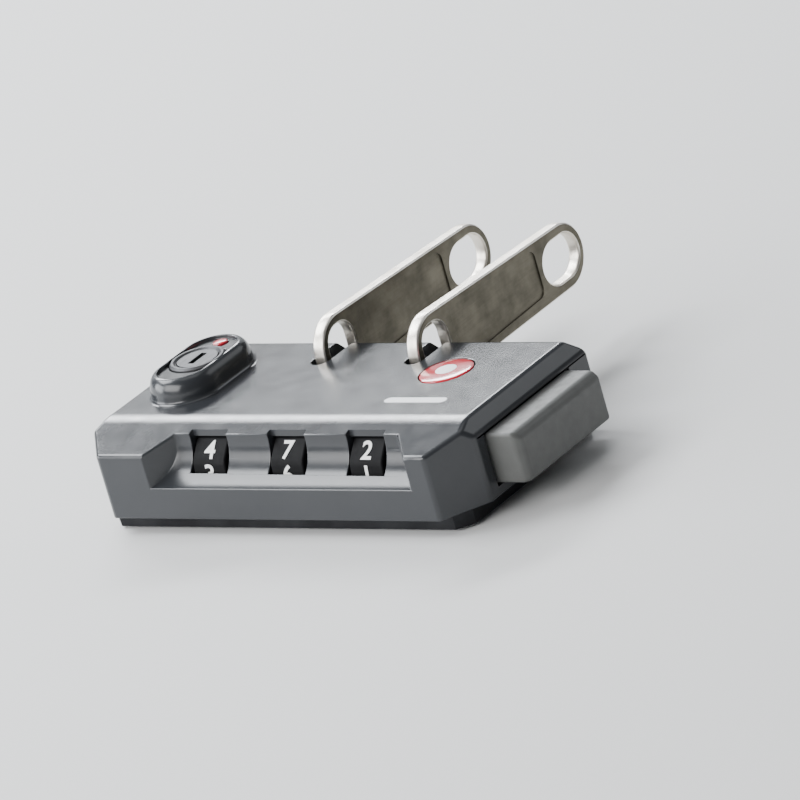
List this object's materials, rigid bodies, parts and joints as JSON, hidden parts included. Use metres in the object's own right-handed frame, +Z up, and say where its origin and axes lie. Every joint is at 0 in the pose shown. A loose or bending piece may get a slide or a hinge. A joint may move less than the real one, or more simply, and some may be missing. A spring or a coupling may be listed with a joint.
{
  "type": "luggage combination padlock",
  "caption": "Low black zip lock for a bag, with number dials in a front groove, a side push button, a key cylinder and metal zip pullers held in its slots.",
  "frame": {"origin": "on the chassis's flat underside, on the mid-plane of the cover's width, 16.2 mm behind the cover's front face", "axes": "+X to the right along the dials, towards the push button; +Y to the back, along the zip pullers; +Z up out of the bag"},
  "size_m": [0.0625, 0.059, 0.0169],
  "materials": {
    "black_cast": "satin black paint over die-cast zinc",
    "black_plastic": "fine-grained black moulding",
    "button_plastic": "matte black moulding",
    "dial_plastic": "black moulding with white numbers",
    "puller_metal": "antique nickel plate, darker on the broad faces",
    "steel": "bright zinc-plated steel",
    "brass": "plain turned brass",
    "red_enamel": "glossy red enamel"
  },
  "bodies": {
    "case": {"top_cover": "black_cast", "chassis": "black_plastic", "clamp_frame": "steel", "clamp_screw_1": "steel", "clamp_screw_2": "steel", "clamp_screw_3": "steel", "clamp_screw_4": "steel", "case_screw_1": "steel", "case_screw_2": "steel", "case_screw_3": "steel", "case_screw_4": "steel", "detent_spring": "steel", "detent_rivet_1": "steel", "detent_rivet_2": "steel", "cylinder_body": "black_cast", "status_badge": "red_enamel", "position_dot": "red_enamel"},
    "shaft": {"dial_shaft": "steel", "reset_button": "brass", "shaft_spring": "steel"},
    "button": {"push_button": "button_plastic"},
    "latch": {"latch_slider": "steel", "latch_spring": "steel"},
    "fence": {"locking_fence": "steel", "fence_spring": "steel"},
    "key": {"cylinder_plug": "steel", "wafer_1": "brass", "wafer_2": "brass", "wafer_3": "brass", "wafer_4": "brass", "plug_clip": "steel", "key_cam": "brass"},
    "dial_1": {"dial_wheel_1": "dial_plastic"},
    "dial_2": {"dial_wheel_2": "dial_plastic"},
    "dial_3": {"dial_wheel_3": "dial_plastic"},
    "sleeve_1": {"clutch_sleeve_1": "brass"},
    "sleeve_2": {"clutch_sleeve_2": "brass"},
    "sleeve_3": {"clutch_sleeve_3": "brass"},
    "puller_1": {"zipper_puller_1": "puller_metal"},
    "puller_2": {"zipper_puller_2": "puller_metal"}
  },
  "joints": [
    {"name": "dial_1_turn", "type": "hinge", "parent": "case", "child": "dial_1", "pos_m": [-0.01, -0.0091, 0.0064], "axis": [1, 0, 0], "continuous": true},
    {"name": "dial_2_turn", "type": "hinge", "parent": "case", "child": "dial_2", "pos_m": [0.002, -0.0091, 0.0064], "axis": [1, 0, 0], "continuous": true},
    {"name": "dial_3_turn", "type": "hinge", "parent": "case", "child": "dial_3", "pos_m": [0.014, -0.0091, 0.0064], "axis": [1, 0, 0], "continuous": true},
    {"name": "reset_push", "type": "slide", "parent": "case", "child": "shaft", "axis": [1, 0, 0], "range_m": [0, 0.0015], "stiffness_N_per_m": 500, "springref_m": -0.001, "deforming": ["shaft_spring"]},
    {"name": "sleeve_1_turn", "type": "hinge", "parent": "shaft", "child": "sleeve_1", "pos_m": [-0.01, -0.0091, 0.0064], "axis": [1, 0, 0], "continuous": true},
    {"name": "sleeve_2_turn", "type": "hinge", "parent": "shaft", "child": "sleeve_2", "pos_m": [0.002, -0.0091, 0.0064], "axis": [1, 0, 0], "continuous": true},
    {"name": "sleeve_3_turn", "type": "hinge", "parent": "shaft", "child": "sleeve_3", "pos_m": [0.014, -0.0091, 0.0064], "axis": [1, 0, 0], "continuous": true},
    {"name": "button_press", "type": "slide", "parent": "case", "child": "button", "axis": [-1, 0, 0], "range_m": [0, 0.0035], "stiffness_N_per_m": 400, "springref_m": -0.002},
    {"name": "latch_slide", "type": "slide", "parent": "case", "child": "latch", "axis": [-1, 0, 0], "range_m": [0, 0.0035], "deforming": ["latch_spring"]},
    {"name": "key_turn", "type": "hinge", "parent": "case", "child": "key", "pos_m": [-0.0203, 0.0014, 0.0095], "axis": [0, 0, 1], "range_deg": [0, 90]},
    {"name": "fence_slide", "type": "slide", "parent": "case", "child": "fence", "axis": [0, 1, 0], "range_m": [0, 0.00212], "deforming": ["fence_spring"]},
    {"name": "puller_1_swing", "type": "hinge", "parent": "case", "child": "puller_1", "pos_m": [-0.0058, 0.0105, 0.0098], "axis": [1, 0, 0], "range_deg": [0, 15]},
    {"name": "puller_2_swing", "type": "hinge", "parent": "case", "child": "puller_2", "pos_m": [0.0086, 0.0105, 0.0098], "axis": [1, 0, 0], "range_deg": [0, 15]}
  ],
  "couplings": [
    {"joint": "sleeve_1_turn", "follows": "dial_1_turn", "ratio": 1},
    {"joint": "sleeve_2_turn", "follows": "dial_2_turn", "ratio": 1},
    {"joint": "sleeve_3_turn", "follows": "dial_3_turn", "ratio": 1},
    {"joint": "latch_slide", "follows": "button_press", "ratio": 1},
    {"joint": "key_turn", "follows": "fence_slide", "rad_per_m": 740.5}
  ]
}
